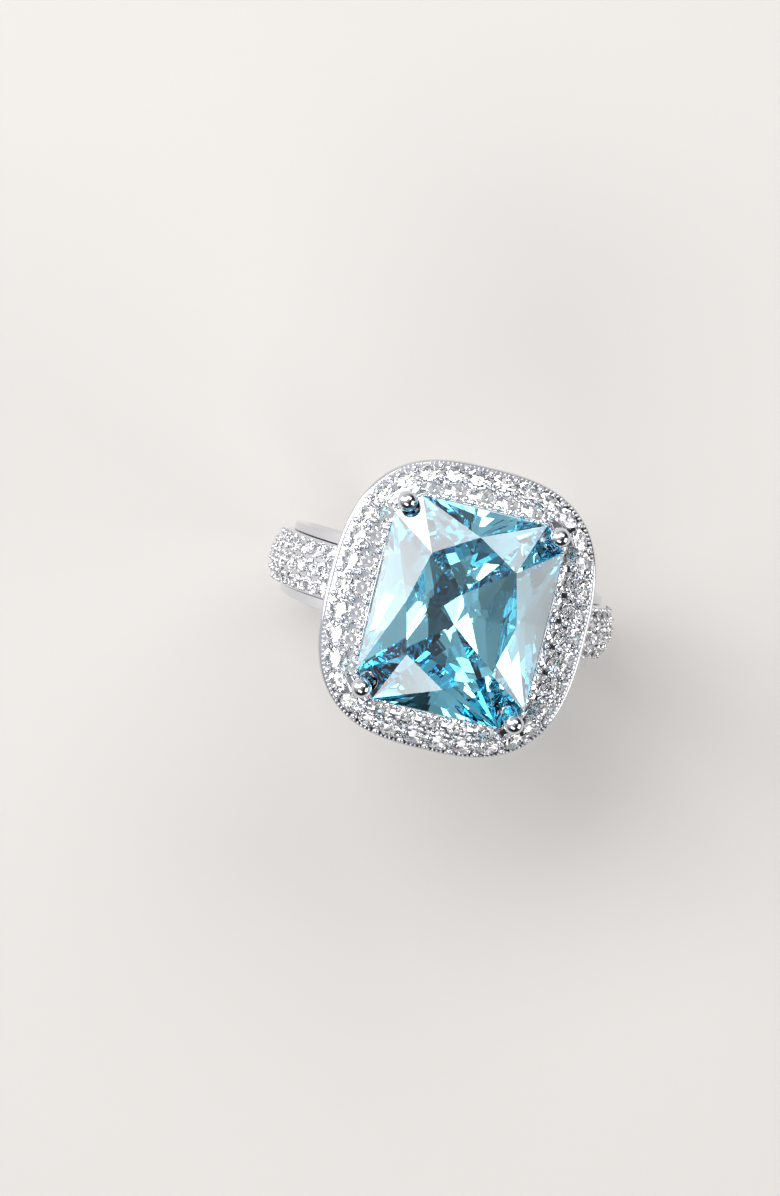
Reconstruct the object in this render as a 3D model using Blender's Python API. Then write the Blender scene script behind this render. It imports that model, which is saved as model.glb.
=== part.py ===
"""Cocktail ring: a large cut-corner stone in four claws, a two-row halo of small stones, and paved shoulders.

The origin is the centre of the finger hole. The finger runs along Y, and +Z points up out of the big stone.
Sizes are in millimetres and are turned to metres when a mesh is made.
"""

import bisect
import functools
import math

import bmesh
import bpy
from mathutils import Matrix, Vector

MM = 0.001
CLEARANCE = 0.05

# Finger hole and band
BORE_RADIUS = 8.65
BAND_TOP_THICKNESS = 0.35
RAIL_THICKNESS = 0.85
BAND_BOTTOM_THICKNESS = 1.25
BAND_BOTTOM_WIDTH = 3.0
RAIL_TOP_WIDTH = 0.8
RAIL_SIDE_WIDTH = 0.45
BAND_CROWN = 0.08
BAND_EDGE = 0.25
BAND_TAPER_FROM = 40.0
BAND_STEP = 6.0

# Paved shoulders; the start is an angle down from the top of the ring, the length is along the crest
SHOULDER_START = 35.0
SHOULDER_LENGTH = 11.57
SHOULDER_RAMP = 9.0
CHANNEL_FLOOR_THICKNESS = 0.33
CHANNEL_SLOPE = 0.1
SHOULDER_WALL = 0.09
SHOULDER_CREST_THICKNESS = 1.71
SHOULDER_EDGE_THICKNESS = 1.03
SHOULDER_STONE_RADIUS = 0.5
SHOULDER_STONE_GAP = 0.15
SHOULDER_RIDGE = 0.03
SHOULDER_SIDE_DROP = 0.24
SHOULDER_SIDE_TILT = 26.0

# Centre stone
STONE_LENGTH = 12.0
STONE_WIDTH = 10.0
STONE_CORNER = 1.3
CULET_GAP = 0.3
PAVILION_DEPTH = 4.55
GIRDLE_THICKNESS = 0.3
CROWN_HEIGHT = 1.3
KEEL_LENGTH = 1.8
TABLE_CORNER_SHARE = 0.5
TABLE_SIDE_SHARE = 0.65
TABLE_END_SHARE = 0.75

# Halo, with gaps and drops measured from the centre stone's girdle
INNER_ROW_GAP = (0.12, 0.03)
INNER_ROW_SQUARENESS = 3.5
INNER_ROW_DROP = 0.29
INNER_ROW_TILT = 8.0
OUTER_ROW_TUCK = (0.0, 0.06)
OUTER_ROW_SQUARENESS = 2.95
OUTER_ROW_DROP_SHARE = 0.7
OUTER_ROW_TILT = 47.0
HALO_STONE_RADIUS = 0.65
HALO_STONE_GAP = 0.17
HALO_TOP_DROP = 0.1
HALO_FLOOR = 0.29
HALO_EDGE_WIDTH = 0.12
HALO_EDGE_CHAMFER = 0.15
HALO_INNER_CHAMFER = 0.2
HALO_WALL = 0.1
HALO_STEPS = 84
RIM_RADIUS = 0.25
RIM_PROUD = (0.13, 0.0)
RIM_SQUARENESS = 2.85

# Small stones, as shares of their own radius
SMALL_TABLE = 0.55
SMALL_CROWN = 0.32
SMALL_PAVILION = 0.77

# Claws, stone seat and gallery
CLAW_RADIUS = 0.38
CLAW_GAP = 0.07
CLAW_BALL_RADIUS = 0.6
CLAW_BALL_RISE = 0.61
CLAW_BALL_OUT = 0.24
CLAW_KNEE_DROP = 1.25
CLAW_FOOT_RISE = 0.41
CLAW_FOOT_OUT = 0.09
CLAW_SIDES = 8
SEAT_TOP_DROP = 0.4
SEAT_BOTTOM_DROP = 0.95
BASE_RAIL_IN = (1.8, 2.1)
BASE_RAIL_SQUARENESS = 4.0
BASE_RAIL_RADIUS = 0.3
GALLERY_WIRE_IN = (1.15, 1.3)
GALLERY_WIRE_DROP = 2.65
GALLERY_WIRE_RADIUS = 0.28
WIRE_SIDES = 6
WIRE_STEPS = 48

# Worked out from the sizes above
HALF_WIDTH = STONE_WIDTH / 2
HALF_LENGTH = STONE_LENGTH / 2
BAND_TOP_RADIUS = BORE_RADIUS + BAND_TOP_THICKNESS
CHANNEL_FLOOR_RADIUS = BORE_RADIUS + CHANNEL_FLOOR_THICKNESS
SHOULDER_CREST_RADIUS = BORE_RADIUS + SHOULDER_CREST_THICKNESS
SHOULDER_END = SHOULDER_START + math.degrees(SHOULDER_LENGTH / SHOULDER_CREST_RADIUS)
SHOULDER_LEAN = math.radians(SHOULDER_SIDE_TILT)
SHOULDER_SEAT = SHOULDER_STONE_RADIUS + CLEARANCE
SHOULDER_SIDE_OFFSET = SHOULDER_SEAT * (1 + math.cos(SHOULDER_LEAN)) + SHOULDER_RIDGE
SHOULDER_HALF_WIDTH = SHOULDER_SIDE_OFFSET + SHOULDER_SEAT * math.cos(SHOULDER_LEAN) + SHOULDER_WALL
BAND_TOP_WIDTH = 2 * (SHOULDER_HALF_WIDTH + CLEARANCE + RAIL_TOP_WIDTH)
BAND_SIDE_WIDTH = 2 * (SHOULDER_HALF_WIDTH + CLEARANCE + RAIL_SIDE_WIDTH)
CULET_HEIGHT = BAND_TOP_RADIUS + CULET_GAP
GIRDLE_BOTTOM = CULET_HEIGHT + PAVILION_DEPTH
GIRDLE_TOP = GIRDLE_BOTTOM + GIRDLE_THICKNESS
HALO_SEAT = HALO_STONE_RADIUS + CLEARANCE
HALO_GROOVE_DEPTH = HALO_STONE_RADIUS * SMALL_PAVILION + 2 * CLEARANCE
OUTER_LEAN = math.radians(OUTER_ROW_TILT)
ROW_STEP = HALO_SEAT * (1 + math.cos(OUTER_LEAN))
OUTER_ROW_DROP = INNER_ROW_DROP + HALO_SEAT * math.sin(OUTER_LEAN) * OUTER_ROW_DROP_SHARE
HALO_BOTTOM_DROP = OUTER_ROW_DROP + HALO_GROOVE_DEPTH * math.cos(OUTER_LEAN) + HALO_FLOOR
HALO_EDGE = HALO_SEAT * math.cos(OUTER_LEAN) + HALO_EDGE_WIDTH
INNER_ROW = (
    HALF_WIDTH + HALO_STONE_RADIUS + INNER_ROW_GAP[0],
    HALF_LENGTH + HALO_STONE_RADIUS + INNER_ROW_GAP[1],
    INNER_ROW_SQUARENESS,
)
OUTER_HALF_WIDTH = INNER_ROW[0] + ROW_STEP - OUTER_ROW_TUCK[0]
OUTER_HALF_LENGTH = INNER_ROW[1] + ROW_STEP - OUTER_ROW_TUCK[1]
RIM_PATH = (
    OUTER_HALF_WIDTH + HALO_EDGE + RIM_PROUD[0] - RIM_RADIUS,
    OUTER_HALF_LENGTH + HALO_EDGE + RIM_PROUD[1] - RIM_RADIUS,
    RIM_SQUARENESS,
)
HALO_TOP = GIRDLE_BOTTOM - HALO_TOP_DROP
HALO_BOTTOM = GIRDLE_BOTTOM - HALO_BOTTOM_DROP
SEAT_TOP = GIRDLE_BOTTOM - SEAT_TOP_DROP
SEAT_BOTTOM = GIRDLE_BOTTOM - SEAT_BOTTOM_DROP
BASE_RAIL_HEIGHT = BAND_TOP_RADIUS + BAND_CROWN + CLEARANCE + BASE_RAIL_RADIUS
BASE_RAIL = (HALF_WIDTH - BASE_RAIL_IN[0], HALF_LENGTH - BASE_RAIL_IN[1], BASE_RAIL_SQUARENESS)
GALLERY_WIRE = (HALF_WIDTH - GALLERY_WIRE_IN[0], HALF_LENGTH - GALLERY_WIRE_IN[1], BASE_RAIL_SQUARENESS)
OCTAGON_LONG = math.cos(math.radians(22.5))
OCTAGON_SHORT = math.sin(math.radians(22.5))


def clear_scene():
    for thing in list(bpy.data.objects):
        bpy.data.objects.remove(thing)


def make_material(name, colour, metallic, roughness, ior=1.5):
    material = bpy.data.materials.new(name)
    material.use_nodes = True
    shader = material.node_tree.nodes["Principled BSDF"]
    shader.inputs["Base Color"].default_value = (*colour, 1.0)
    shader.inputs["Metallic"].default_value = metallic
    shader.inputs["Roughness"].default_value = roughness
    shader.inputs["IOR"].default_value = ior
    material.diffuse_color = (*colour, 1.0)
    return material


def make_object(name, mesh, material):
    thing = bpy.data.objects.new(name, mesh)
    bpy.context.scene.collection.objects.link(thing)
    if not mesh.materials:
        mesh.materials.append(material)
    return thing


def finish_mesh(name, shape, smooth_angle=None):
    """Turn a bmesh in millimetres into a mesh in metres with its faces outward."""
    bmesh.ops.recalc_face_normals(shape, faces=shape.faces)
    bmesh.ops.scale(shape, vec=(MM, MM, MM), verts=shape.verts)
    mesh = bpy.data.meshes.new(name)
    shape.to_mesh(mesh)
    shape.free()
    if smooth_angle is not None:
        mesh.shade_smooth()
        mesh.set_sharp_from_angle(angle=math.radians(smooth_angle))
    return mesh


def loft(shape, rings, closed):
    """Skin a run of rings that have the same number of points, with an end cap on an open run."""
    rows = [[shape.verts.new(point) for point in ring] for ring in rings]
    count = len(rows[0])
    pairs = list(zip(rows, rows[1:]))
    if closed:
        pairs.append((rows[-1], rows[0]))
    for near, far in pairs:
        for index in range(count):
            after = (index + 1) % count
            shape.faces.new((near[index], near[after], far[after], far[index]))
    if not closed:
        shape.faces.new(rows[0])
        shape.faces.new(rows[-1])


def loft_object(name, rings, material, closed=True, smooth_angle=40.0):
    shape = bmesh.new()
    loft(shape, rings, closed)
    return make_object(name, finish_mesh(name, shape, smooth_angle), material)


def cushion_radius(angle, path):
    """Distance from the centre to a cushion outline of given half width, half length and squareness."""
    half_x, half_y, power = path
    across = abs(math.cos(angle)) / half_x
    along = abs(math.sin(angle)) / half_y
    return (across**power + along**power) ** (-1.0 / power)


def stone_radius(angle, offset):
    """Distance from the centre to the big stone's outline moved outwards by offset."""
    across = abs(math.cos(angle))
    along = abs(math.sin(angle))
    half_x = STONE_WIDTH / 2
    half_y = STONE_LENGTH / 2
    corner = (half_x + half_y - STONE_CORNER) / math.sqrt(2) + offset
    reach = [corner * math.sqrt(2) / (across + along)]
    if across > 1e-9:
        reach.append((half_x + offset) / across)
    if along > 1e-9:
        reach.append((half_y + offset) / along)
    return min(reach)


def polar(angle, radius, height):
    return Vector((radius * math.cos(angle), radius * math.sin(angle), height))


@functools.cache
def row_table(path):
    """Angles round a cushion outline, and the distance travelled along it at each."""
    samples = 1440
    angles = [2 * math.pi * index / samples for index in range(samples + 1)]
    points = [polar(angle, cushion_radius(angle, path), 0.0) for angle in angles]
    travelled = [0.0]
    for here, there in zip(points, points[1:]):
        travelled.append(travelled[-1] + (there - here).length)
    return angles, travelled


def row_length(path):
    return row_table(path)[1][-1]


def even_angles(path, places):
    """Angles of points at given shares of the way round a cushion outline, measured along it."""
    angles, travelled = row_table(path)
    found = []
    for place in places:
        turns = math.floor(place)
        target = (place - turns) * travelled[-1]
        index = max(bisect.bisect_left(travelled, target) - 1, 0)
        share = (target - travelled[index]) / (travelled[index + 1] - travelled[index])
        found.append(angles[index] + share * (angles[1] - angles[0]) + 2 * math.pi * turns)
    return found


def frame_matrix(origin, along, up):
    """Placement with local X along a row of stones and local Z up out of them."""
    side = up.cross(along).normalized()
    along = side.cross(up).normalized()
    turned = Matrix((along, side, up)).transposed().to_4x4()
    turned.translation = origin
    return turned


def in_metres(placement):
    scaled = placement.copy()
    scaled.translation = placement.translation * MM
    return scaled


def octagon(radius, height):
    corners = [math.radians(22.5 + 45 * index) for index in range(8)]
    return [Vector((radius * math.cos(a), radius * math.sin(a), height)) for a in corners]


def add_small_stone(shape, radius):
    """A small round-cut stone with its girdle at height zero."""
    table = [shape.verts.new(p) for p in octagon(radius * SMALL_TABLE, radius * SMALL_CROWN)]
    girdle = [shape.verts.new(p) for p in octagon(radius, 0.0)]
    culet = shape.verts.new((0.0, 0.0, -radius * SMALL_PAVILION))
    shape.faces.new(table)
    for index in range(8):
        after = (index + 1) % 8
        shape.faces.new((girdle[index], girdle[after], table[after], table[index]))
        shape.faces.new((girdle[after], girdle[index], culet))


def add_seat(shape, radius, placement):
    """The hollow that a small stone drops into: its pavilion with room round it, open at the top."""
    room = radius + CLEARANCE
    lift = radius
    top = [shape.verts.new(placement @ p) for p in octagon(room, lift)]
    girdle = [shape.verts.new(placement @ p) for p in octagon(room, -0.4 * CLEARANCE)]
    culet = shape.verts.new(placement @ Vector((0.0, 0.0, -radius * SMALL_PAVILION - 2 * CLEARANCE)))
    shape.faces.new(top)
    for index in range(8):
        after = (index + 1) % 8
        shape.faces.new((girdle[index], girdle[after], top[after], top[index]))
        shape.faces.new((girdle[after], girdle[index], culet))


def add_claw_hole(shape, claw, radius):
    """An upright hole right through the halo plate."""
    corners = [math.radians(360 / CLAW_SIDES * index) for index in range(CLAW_SIDES)]
    rings = []
    for level in (HALO_BOTTOM - radius, GIRDLE_TOP + radius):
        rings.append([(claw.x + radius * math.cos(a), claw.y + radius * math.sin(a), level) for a in corners])
    loft(shape, rings, closed=False)


def cut(target, name, shape):
    cutter = bpy.data.objects.new(name, finish_mesh(name, shape))
    bpy.context.scene.collection.objects.link(cutter)
    cutter.hide_render = True
    cutter.display_type = "WIRE"
    modifier = target.modifiers.new(name, "BOOLEAN")
    modifier.operation = "DIFFERENCE"
    modifier.solver = "EXACT"
    modifier.object = cutter


def stone_chain(centres, radius, place):
    """Rings of a row of small stones joined through their girdles; place(along, across, up) gives a point."""
    long_half = radius * OCTAGON_LONG
    short_half = radius * OCTAGON_SHORT
    crown = radius * SMALL_CROWN
    keel = radius * SMALL_PAVILION * 0.8
    link = radius * 0.35
    slices = (
        (-long_half, short_half, 0.06 * radius, link),
        (-short_half, long_half, crown, keel),
        (short_half, long_half, crown, keel),
        (long_half, short_half, 0.06 * radius, link),
    )
    rings = []
    for centre in centres:
        for step, half_width, height, depth in slices:
            table = half_width * SMALL_TABLE
            section = ((-half_width, 0), (-table, height), (table, height), (half_width, 0), (0, -depth))
            rings.append([place(centre + step, across, up) for across, up in section])
    return rings


# Band ---------------------------------------------------------------------------------------------


def mix(low, high, share):
    return low + (high - low) * min(1.0, max(0.0, share))


def band_half_width(degrees):
    if degrees < 90:
        share = (degrees - BAND_TAPER_FROM) / (90 - BAND_TAPER_FROM)
        return mix(BAND_TOP_WIDTH, BAND_SIDE_WIDTH, share) / 2
    return mix(BAND_SIDE_WIDTH, BAND_BOTTOM_WIDTH, (degrees - 90) / 90) / 2


def band_radius(degrees):
    if degrees < SHOULDER_START:
        share = (degrees - SHOULDER_START + SHOULDER_RAMP) / SHOULDER_RAMP
        return BORE_RADIUS + mix(BAND_TOP_THICKNESS, RAIL_THICKNESS, share)
    share = (degrees - SHOULDER_END) / (180 - SHOULDER_END)
    return BORE_RADIUS + mix(RAIL_THICKNESS, BAND_BOTTOM_THICKNESS, share)


def band_point(degrees, across, radius):
    angle = math.radians(degrees)
    return Vector((radius * math.sin(angle), across, radius * math.cos(angle)))


def band_ring(degrees, in_channel):
    size = abs(degrees)
    half = band_half_width(size)
    outer = band_radius(size)
    groove = min(SHOULDER_HALF_WIDTH + CLEARANCE, half - BAND_EDGE)
    middle = CHANNEL_FLOOR_RADIUS if in_channel else outer + BAND_CROWN
    groove_foot = groove - CLEARANCE / 2
    one_side = (
        (half - BAND_EDGE, BORE_RADIUS),
        (half, BORE_RADIUS + BAND_EDGE / 2),
        (half, outer - BAND_EDGE / 2),
        (half - BAND_EDGE / 2, outer),
        (groove, outer),
        (groove_foot, middle),
    )
    other_side = [(-across, radius) for across, radius in reversed(one_side)]
    return [band_point(degrees, across, radius) for across, radius in (*one_side, *other_side)]


def band_stations():
    """(angle, whether the channel is open there) all the way round, with a pair at each channel end."""
    half_round = [(0.0, False)]
    count = round(SHOULDER_START / BAND_STEP)
    for index in range(1, count):
        half_round.append((SHOULDER_START * index / count, False))
    half_round.append((SHOULDER_START - CHANNEL_SLOPE, False))
    half_round.append((SHOULDER_START, True))
    count = round((SHOULDER_END - SHOULDER_START) / BAND_STEP)
    for index in range(1, count + 1):
        half_round.append((mix(SHOULDER_START, SHOULDER_END, index / count), True))
    half_round.append((SHOULDER_END + CHANNEL_SLOPE, False))
    count = round((180 - SHOULDER_END) / BAND_STEP)
    for index in range(1, count):
        half_round.append((mix(SHOULDER_END, 180.0, index / count), False))
    other_half = [(-degrees, is_open) for degrees, is_open in reversed(half_round[1:])]
    return half_round + [(180.0, False)] + other_half


def make_shank(metal):
    rings = [band_ring(degrees, is_open) for degrees, is_open in band_stations()]
    return loft_object("shank", rings, metal)


# Shoulders ----------------------------------------------------------------------------------------


def on_slope(across, up):
    """(distance from the middle, radius) of a point near a side row, measured in its own leaning frame."""
    out = math.cos(SHOULDER_LEAN) * across + math.sin(SHOULDER_LEAN) * up
    height = math.cos(SHOULDER_LEAN) * up - math.sin(SHOULDER_LEAN) * across
    return SHOULDER_SIDE_OFFSET + out, SHOULDER_CREST_RADIUS - SHOULDER_SIDE_DROP + height


def side_row_point(side, row, along, across, up):
    """A point near a side row of shoulder stones; along is measured on the crest, from the row's middle."""
    middle = (SHOULDER_START + SHOULDER_END) / 2
    degrees = middle + math.degrees(along / SHOULDER_CREST_RADIUS)
    out, radius = on_slope(across, up)
    return band_point(side * degrees, row * out, radius)


def shoulder_section():
    """Half of the plate's section from its foot to the ridge that holds the middle row."""
    groove_depth = SHOULDER_STONE_RADIUS * SMALL_PAVILION + CLEARANCE
    inner_edge = on_slope(-SHOULDER_SEAT, 0.0)
    return (
        (SHOULDER_HALF_WIDTH, CHANNEL_FLOOR_RADIUS + CLEARANCE),
        (SHOULDER_HALF_WIDTH, BORE_RADIUS + SHOULDER_EDGE_THICKNESS),
        on_slope(SHOULDER_SEAT, CLEARANCE / 2),
        on_slope(0.0, -groove_depth),
        inner_edge,
        (inner_edge[0] / 2, SHOULDER_CREST_RADIUS),
    )


def make_shoulder(side, label, metal, stone_material, stone_mesh):
    half_side = shoulder_section()
    section = [*half_side, *[(-across, radius) for across, radius in reversed(half_side)]]
    gap = math.degrees(CLEARANCE / CHANNEL_FLOOR_RADIUS)
    start = SHOULDER_START + gap
    end = SHOULDER_END - gap
    count = round((end - start) / (BAND_STEP / 2))
    rings = []
    for index in range(count + 1):
        degrees = side * mix(start, end, index / count)
        rings.append([band_point(degrees, across, radius) for across, radius in section])
    plate = loft_object(f"shoulder_plate_{label}", rings, metal, closed=False)

    middle = (SHOULDER_START + SHOULDER_END) / 2
    seats = bmesh.new()
    pitch = 2 * SHOULDER_STONE_RADIUS + SHOULDER_STONE_GAP
    columns = int((SHOULDER_LENGTH - SHOULDER_STONE_RADIUS) / pitch)
    offsets = [pitch * (index - (columns - 1) / 2) for index in range(columns)]
    for index, offset in enumerate(offsets):
        degrees = side * (middle + math.degrees(offset / SHOULDER_CREST_RADIUS))
        up = band_point(degrees, 0.0, 1.0)
        placement = frame_matrix(up * SHOULDER_CREST_RADIUS, Vector((up.z, 0.0, -up.x)), up)
        add_seat(seats, SHOULDER_STONE_RADIUS, placement)
        stone = make_object(f"shoulder_stone_{label}_{index + 1}", stone_mesh, stone_material)
        stone.matrix_world = in_metres(placement)
    cut(plate, f"shoulder_seats_{label}", seats)

    for row, edge in ((1, "back"), (-1, "front")):
        rings = stone_chain(
            offsets,
            SHOULDER_STONE_RADIUS,
            lambda along, across, up: side_row_point(side, row, along, across, up),
        )
        name = f"shoulder_stone_row_{label}_{edge}"
        loft_object(name, rings, stone_material, closed=False, smooth_angle=1.0)


# Halo ---------------------------------------------------------------------------------------------


@functools.cache
def outer_row():
    """The outer row's path, squared up until it passes outside the claws."""
    top_x, top_y = claw_top()
    slant = math.atan2(top_y, top_x)
    room = math.hypot(top_x, top_y) + CLAW_RADIUS + 2 * CLEARANCE + HALO_SEAT * math.cos(OUTER_LEAN)
    squareness = OUTER_ROW_SQUARENESS
    while cushion_radius(slant, (OUTER_HALF_WIDTH, OUTER_HALF_LENGTH, squareness)) < room:
        squareness += 0.05
    return OUTER_HALF_WIDTH, OUTER_HALF_LENGTH, squareness


def outer_row_point(angle, across, up):
    out = math.cos(OUTER_LEAN) * across + math.sin(OUTER_LEAN) * up
    height = math.cos(OUTER_LEAN) * up - math.sin(OUTER_LEAN) * across
    return polar(angle, cushion_radius(angle, outer_row()) + out, GIRDLE_BOTTOM - OUTER_ROW_DROP + height)


def halo_section(angle):
    row = cushion_radius(angle, outer_row())
    inside = stone_radius(angle, 2 * CLEARANCE)
    ridge = outer_row_point(angle, -HALO_SEAT, CLEARANCE)
    return [
        polar(angle, inside, HALO_TOP),
        polar(angle, ridge.xy.length - HALO_WALL, max(ridge.z, HALO_TOP) + CLEARANCE / 2),
        ridge,
        outer_row_point(angle, 0.0, -HALO_GROOVE_DEPTH),
        outer_row_point(angle, HALO_SEAT, CLEARANCE),
        polar(angle, row + HALO_EDGE, HALO_BOTTOM + HALO_EDGE_CHAMFER),
        polar(angle, row + HALO_EDGE - HALO_EDGE_CHAMFER, HALO_BOTTOM),
        polar(angle, row - HALO_SEAT, HALO_BOTTOM),
        polar(angle, inside, HALO_BOTTOM + HALO_INNER_CHAMFER),
    ]


def path_placement(angle, path, height, tilt_degrees):
    step = 0.001
    origin = polar(angle, cushion_radius(angle, path), height)
    ahead = polar(angle + step, cushion_radius(angle + step, path), height)
    along = (ahead - origin).normalized()
    outward = along.cross(Vector((0, 0, 1)))
    tilt = math.radians(tilt_degrees)
    up = Vector((0, 0, 1)) * math.cos(tilt) + outward * math.sin(tilt)
    return frame_matrix(origin, along, up)


def claw_top():
    """Where a claw's shaft passes the stone's cut corner, in the +X +Y quarter."""
    out = (CLAW_RADIUS + CLAW_GAP) / math.sqrt(2)
    return HALF_WIDTH - STONE_CORNER / 2 + out, HALF_LENGTH - STONE_CORNER / 2 + out


def make_halo(metal, stone_material, stone_mesh):
    steps = [2 * math.pi * index / HALO_STEPS for index in range(HALO_STEPS)]
    plate = loft_object("halo_plate", [halo_section(angle) for angle in steps], metal)
    hollows = bmesh.new()
    top_x, top_y = claw_top()
    claws = [Vector((side_x * top_x, side_y * top_y)) for side_x in (1, -1) for side_y in (1, -1)]
    room = HALO_STONE_RADIUS + CLAW_RADIUS + CLEARANCE
    pitch = 2 * HALO_STONE_RADIUS + HALO_STONE_GAP
    places = 4 * int(row_length(INNER_ROW) / pitch / 4)
    number = 0
    for angle in even_angles(INNER_ROW, [index / places for index in range(places)]):
        placement = path_placement(angle, INNER_ROW, GIRDLE_BOTTOM - INNER_ROW_DROP, INNER_ROW_TILT)
        if min((placement.translation.xy - claw).length for claw in claws) < room:
            continue
        number += 1
        add_seat(hollows, HALO_STONE_RADIUS, placement)
        stone = make_object(f"halo_stone_{number:02d}", stone_mesh, stone_material)
        stone.matrix_world = in_metres(placement)
    for claw in claws:
        add_claw_hole(hollows, claw, CLAW_RADIUS + CLEARANCE)
    cut(plate, "halo_seats", hollows)

    around = row_length(outer_row())

    def place(along, across, up):
        angle = even_angles(outer_row(), [along / around])[0]
        return outer_row_point(angle, across, up)

    stones = 2 * int(around / pitch / 2)
    centres = [around * index / stones for index in range(stones)]
    rings = stone_chain(centres, HALO_STONE_RADIUS, place)
    loft_object("halo_outer_stone_row", rings, stone_material, smooth_angle=1.0)


def rim_height(centre):
    return HALO_BOTTOM - CLEARANCE - RIM_RADIUS


def base_rail_height(centre):
    """The base rail lies along the band, so it follows a cylinder about the finger."""
    return math.sqrt(BASE_RAIL_HEIGHT**2 - centre.x**2)


def gallery_wire_height(centre):
    return GIRDLE_BOTTOM - GALLERY_WIRE_DROP


def wire_ring(name, path, radius, height_of, metal, steps):
    rings = []
    for index in range(steps):
        angle = 2 * math.pi * index / steps
        middle = cushion_radius(angle, path)
        ring = []
        for corner in range(WIRE_SIDES):
            turn = 2 * math.pi * corner / WIRE_SIDES
            out = middle + radius * math.cos(turn)
            at = polar(angle, out, 0.0)
            centre = polar(angle, middle, 0.0)
            at.z = height_of(centre) + radius * math.sin(turn)
            ring.append(at)
        rings.append(ring)
    return loft_object(name, rings, metal, smooth_angle=70.0)


# Centre stone, its seat and its claws ---------------------------------------------------------------


def make_centre_stone(material):
    table = GIRDLE_TOP + CROWN_HEIGHT
    shape = bmesh.new()
    for side_x in (1, -1):
        for side_y in (1, -1):
            for level in (GIRDLE_BOTTOM, GIRDLE_TOP):
                shape.verts.new((side_x * HALF_WIDTH, side_y * (HALF_LENGTH - STONE_CORNER), level))
                shape.verts.new((side_x * (HALF_WIDTH - STONE_CORNER), side_y * HALF_LENGTH, level))
            corner = (side_x * TABLE_CORNER_SHARE * HALF_WIDTH, side_y * TABLE_CORNER_SHARE * HALF_LENGTH)
            shape.verts.new((*corner, table))
    for side in (1, -1):
        shape.verts.new((side * TABLE_SIDE_SHARE * HALF_WIDTH, 0.0, table))
        shape.verts.new((0.0, side * TABLE_END_SHARE * HALF_LENGTH, table))
        shape.verts.new((0.0, side * KEEL_LENGTH / 2, CULET_HEIGHT))
    bmesh.ops.convex_hull(shape, input=shape.verts)
    flat = [edge for edge in shape.edges if edge.calc_face_angle(1.0) < math.radians(0.05)]
    bmesh.ops.dissolve_edges(shape, edges=flat, use_verts=False)
    return make_object("centre_stone", finish_mesh("centre_stone", shape), material)


def make_stone_seat(metal):
    """An open collar that the big stone's underside rests in."""
    slope = min(HALF_WIDTH, HALF_LENGTH - KEEL_LENGTH / 2) / PAVILION_DEPTH
    rings = []
    for index in range(WIRE_STEPS):
        angle = 2 * math.pi * (index + 0.5) / WIRE_STEPS
        top_inset = (GIRDLE_BOTTOM - SEAT_TOP) * slope
        bottom_inset = (GIRDLE_BOTTOM - SEAT_BOTTOM) * slope
        outside = stone_radius(angle, -CLEARANCE / 2)
        rings.append(
            [
                polar(angle, outside, SEAT_TOP),
                polar(angle, stone_radius(angle, -top_inset + 2 * CLEARANCE), SEAT_TOP),
                polar(angle, stone_radius(angle, -bottom_inset + 2 * CLEARANCE), SEAT_BOTTOM),
                polar(angle, outside, SEAT_BOTTOM),
            ]
        )
    return loft_object("stone_seat", rings, metal)


def make_claw(name, side_x, side_y, metal):
    top_x, top_y = claw_top()
    knee = Vector((top_x, top_y, GIRDLE_BOTTOM - CLAW_KNEE_DROP))
    neck = Vector((top_x, top_y, GIRDLE_TOP))
    slant = math.atan2(top_y, top_x)
    foot_out = cushion_radius(slant, BASE_RAIL) + CLAW_FOOT_OUT
    foot = polar(slant, foot_out, 0.0)
    foot.z = math.sqrt(BASE_RAIL_HEIGHT**2 - foot.x**2) + CLAW_FOOT_RISE
    out = Vector((1, 1, 0)).normalized()
    corner_x = HALF_WIDTH - STONE_CORNER / 2
    corner_y = HALF_LENGTH - STONE_CORNER / 2
    ball = Vector((corner_x, corner_y, GIRDLE_TOP + CLAW_BALL_RISE))
    ball += out * CLAW_BALL_OUT
    spine = [
        (foot, CLAW_RADIUS),
        (foot.lerp(knee, 0.97), CLAW_RADIUS),
        (knee.lerp(neck, 0.05), CLAW_RADIUS),
        (neck, CLAW_RADIUS),
    ]
    for share in (-0.75, -0.4, 0.0, 0.4, 0.75, 0.96):
        size = CLAW_BALL_RADIUS * math.sqrt(1 - share * share)
        spine.append((ball + Vector((0, 0, share * CLAW_BALL_RADIUS)), size))
    rings = []
    for index, (middle, radius) in enumerate(spine):
        before = spine[max(index - 1, 0)][0]
        after = spine[min(index + 1, len(spine) - 1)][0]
        along = (after - before).normalized() if index < 3 else Vector((0, 0, 1))
        side = along.cross(out).normalized()
        lean = side.cross(along)
        ring = []
        for corner in range(CLAW_SIDES):
            turn = 2 * math.pi * corner / CLAW_SIDES
            point = middle + lean * (radius * math.cos(turn)) + side * (radius * math.sin(turn))
            ring.append(Vector((side_x * point.x, side_y * point.y, point.z)))
        rings.append(ring)
    return loft_object(name, rings, metal, closed=False, smooth_angle=60.0)


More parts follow.
